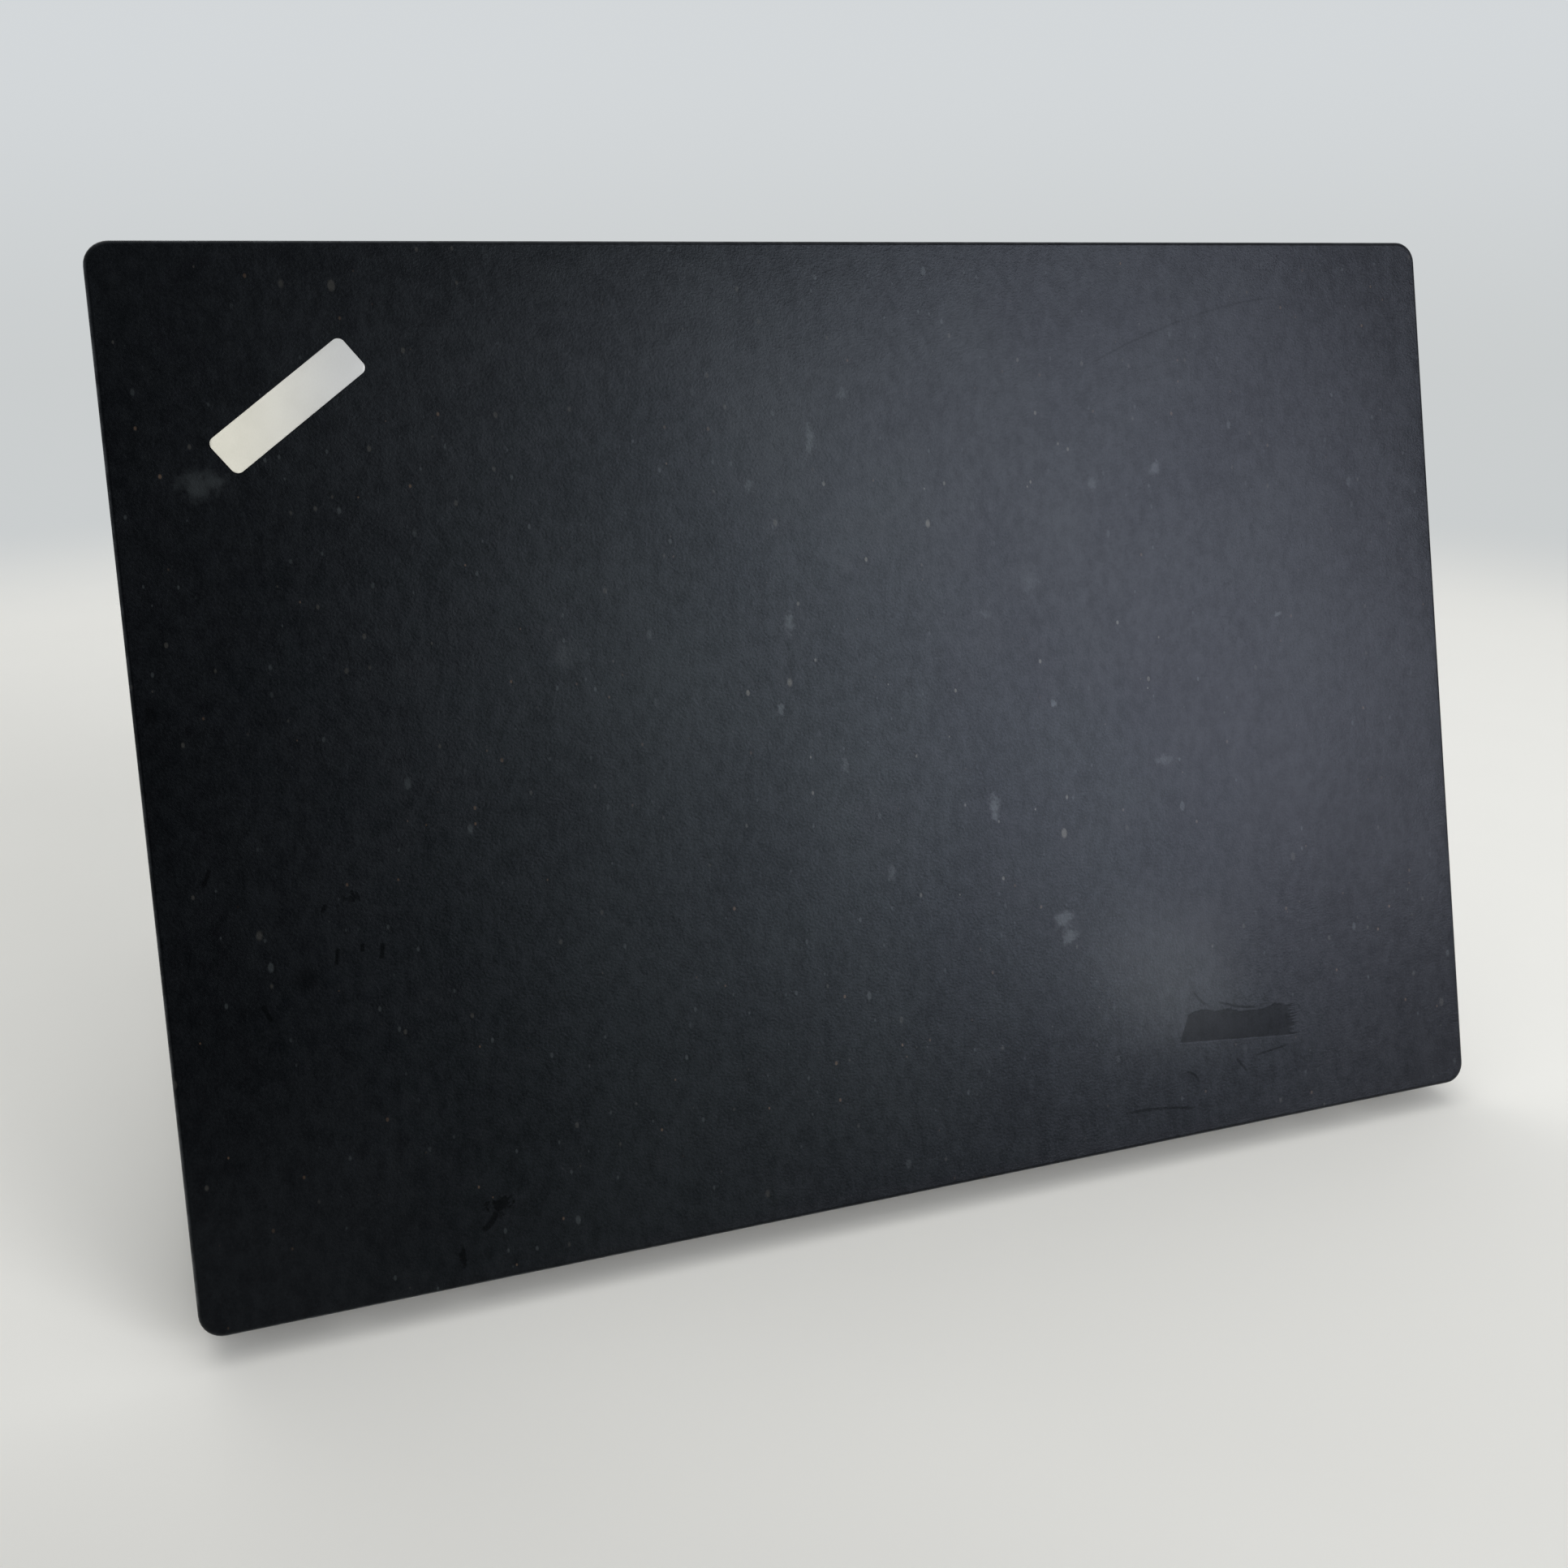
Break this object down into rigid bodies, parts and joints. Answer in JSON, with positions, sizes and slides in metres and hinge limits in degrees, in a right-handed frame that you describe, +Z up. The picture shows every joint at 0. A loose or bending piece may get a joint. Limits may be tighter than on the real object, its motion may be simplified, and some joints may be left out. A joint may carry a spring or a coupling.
{
  "type": "laptop computer",
  "caption": "Thin clamshell laptop computer standing open, with a drop-down friction-hinged lid, island keyboard, touchpad and side sockets.",
  "frame": {"origin": "on the table, under the middle of the machine's box as it stands open", "axes": "+X to the user's right across the keyboard, +Y from the user to the hinge, +Z up"},
  "size_m": [0.312, 0.2209, 0.2159],
  "materials": {
    "lid_paint": "matte soft-touch",
    "case_plastic": "matte",
    "bezel_plastic": "fine matte",
    "screen_glass": "anti-glare film over a dark screen",
    "badge_metal": "satin",
    "hinge_steel": "zinc plated",
    "pin_steel": "polished",
    "screw_steel": "blackened",
    "rubber": "matte",
    "key_plastic": "satin, dished",
    "plate_metal": "stamped",
    "pad_glass": "fine matte glass",
    "circuit_board": "solder mask",
    "chip_epoxy": "moulded epoxy",
    "copper": "lacquered copper",
    "fin_metal": "bare",
    "fan_plastic": "moulded",
    "battery_wrap": "film wrapped",
    "socket_metal": "nickel plated",
    "cell_steel": "stamped"
  },
  "bodies": {
    "base": {"top_case": "case_plastic", "base_cover": "case_plastic", "keyboard_frame": "bezel_plastic", "keyboard_plate": "plate_metal", "pointing_stick": "rubber", "touchpad_bracket": "plate_metal", "hinge_base_leaf_left": "hinge_steel", "hinge_base_leaf_right": "hinge_steel", "base_hinge_screws": "screw_steel", "system_board": "circuit_board", "processor": "chip_epoxy", "memory_chips": "chip_epoxy", "heat_pipe": "copper", "fin_stack": "fin_metal", "fan_housing": "fan_plastic", "ssd": "circuit_board", "wireless_card": "circuit_board", "coin_cell": "cell_steel", "battery_pack": "battery_wrap", "speakers": "fan_plastic", "io_board": "circuit_board", "usb_c_ports": "socket_metal", "usb_a_ports": "socket_metal", "hdmi_port": "socket_metal", "audio_jack": "fan_plastic", "base_screws": "screw_steel", "rubber_feet": "rubber"},
    "lid": {"lid_cover": "lid_paint", "lid_badge": "badge_metal", "display_bezel": "bezel_plastic", "lcd_panel": "screen_glass", "lcd_driver_board": "circuit_board", "camera_module": "chip_epoxy", "antennas": "copper", "display_cable": "fan_plastic", "lid_bumpers": "rubber", "hinge_lid_leaf_left": "hinge_steel", "hinge_lid_leaf_right": "hinge_steel", "hinge_pin_left": "pin_steel", "hinge_pin_right": "pin_steel", "hinge_washers": "pin_steel", "lid_hinge_screws": "screw_steel"},
    "camera_shutter": {"camera_shutter": "bezel_plastic"},
    "fan_rotor": {"fan_rotor": "fan_plastic"},
    "power_button": {"power_button": "key_plastic"},
    "pointer_button_left": {"pointer_button_left": "key_plastic"},
    "pointer_button_middle": {"pointer_button_middle": "key_plastic"},
    "pointer_button_right": {"pointer_button_right": "key_plastic"},
    "touchpad": {"touchpad": "pad_glass"},
    "function_keys": {"function_keys": "key_plastic"},
    "number_keys": {"number_keys": "key_plastic"},
    "upper_keys": {"upper_keys": "key_plastic"},
    "home_keys": {"home_keys": "key_plastic"},
    "lower_keys": {"lower_keys": "key_plastic"},
    "bottom_keys": {"bottom_keys": "key_plastic"},
    "arrow_keys": {"arrow_keys": "key_plastic"},
    "space_bar": {"space_bar": "key_plastic"},
    "enter_key": {"enter_key": "key_plastic"},
    "backspace_key": {"backspace_key": "key_plastic"},
    "shift_keys": {"shift_keys": "key_plastic"}
  },
  "joints": [
    {"name": "lid_hinge", "type": "hinge", "parent": "base", "child": "lid", "pos_m": [0, 0.10195, 0.009], "axis": [-1, 0, 0], "range_deg": [-75, 105]},
    {"name": "camera_shutter_slide", "type": "slide", "parent": "lid", "child": "camera_shutter", "axis": [-1, 0, 0], "range_m": [0, 0.0047]},
    {"name": "fan_spin", "type": "hinge", "parent": "base", "child": "fan_rotor", "pos_m": [0.108, 0.03376, 0.005], "axis": [0, 0, 1], "continuous": true},
    {"name": "touchpad_press", "type": "hinge", "parent": "base", "child": "touchpad", "pos_m": [0, -0.03685, 0.0104], "axis": [1, 0, 0], "range_deg": [0, 0.49], "stiffness_Nm_per_rad": 1.5, "springref_deg": -1.15},
    {"name": "power_button_press", "type": "slide", "parent": "base", "child": "power_button", "axis": [0, 0, -1], "range_m": [0, 0.0005], "stiffness_N_per_m": 300, "springref_m": -0.0006},
    {"name": "pointer_button_left_press", "type": "slide", "parent": "base", "child": "pointer_button_left", "axis": [0, 0, -1], "range_m": [0, 0.0005], "stiffness_N_per_m": 300, "springref_m": -0.0006},
    {"name": "pointer_button_middle_press", "type": "slide", "parent": "base", "child": "pointer_button_middle", "axis": [0, 0, -1], "range_m": [0, 0.0005], "stiffness_N_per_m": 300, "springref_m": -0.0006},
    {"name": "pointer_button_right_press", "type": "slide", "parent": "base", "child": "pointer_button_right", "axis": [0, 0, -1], "range_m": [0, 0.0005], "stiffness_N_per_m": 300, "springref_m": -0.0006},
    {"name": "function_keys_press", "type": "slide", "parent": "base", "child": "function_keys", "axis": [0, 0, -1], "range_m": [0, 0.0015], "stiffness_N_per_m": 400, "springref_m": -0.0008},
    {"name": "number_keys_press", "type": "slide", "parent": "base", "child": "number_keys", "axis": [0, 0, -1], "range_m": [0, 0.0015], "stiffness_N_per_m": 400, "springref_m": -0.0008},
    {"name": "upper_keys_press", "type": "slide", "parent": "base", "child": "upper_keys", "axis": [0, 0, -1], "range_m": [0, 0.0015], "stiffness_N_per_m": 400, "springref_m": -0.0008},
    {"name": "home_keys_press", "type": "slide", "parent": "base", "child": "home_keys", "axis": [0, 0, -1], "range_m": [0, 0.0015], "stiffness_N_per_m": 400, "springref_m": -0.0008},
    {"name": "lower_keys_press", "type": "slide", "parent": "base", "child": "lower_keys", "axis": [0, 0, -1], "range_m": [0, 0.0015], "stiffness_N_per_m": 400, "springref_m": -0.0008},
    {"name": "bottom_keys_press", "type": "slide", "parent": "base", "child": "bottom_keys", "axis": [0, 0, -1], "range_m": [0, 0.0015], "stiffness_N_per_m": 400, "springref_m": -0.0008},
    {"name": "arrow_keys_press", "type": "slide", "parent": "base", "child": "arrow_keys", "axis": [0, 0, -1], "range_m": [0, 0.0015], "stiffness_N_per_m": 400, "springref_m": -0.0008},
    {"name": "space_bar_press", "type": "slide", "parent": "base", "child": "space_bar", "axis": [0, 0, -1], "range_m": [0, 0.0015], "stiffness_N_per_m": 400, "springref_m": -0.0008},
    {"name": "enter_key_press", "type": "slide", "parent": "base", "child": "enter_key", "axis": [0, 0, -1], "range_m": [0, 0.0015], "stiffness_N_per_m": 400, "springref_m": -0.0008},
    {"name": "backspace_key_press", "type": "slide", "parent": "base", "child": "backspace_key", "axis": [0, 0, -1], "range_m": [0, 0.0015], "stiffness_N_per_m": 400, "springref_m": -0.0008},
    {"name": "shift_keys_press", "type": "slide", "parent": "base", "child": "shift_keys", "axis": [0, 0, -1], "range_m": [0, 0.0015], "stiffness_N_per_m": 400, "springref_m": -0.0008}
  ]
}
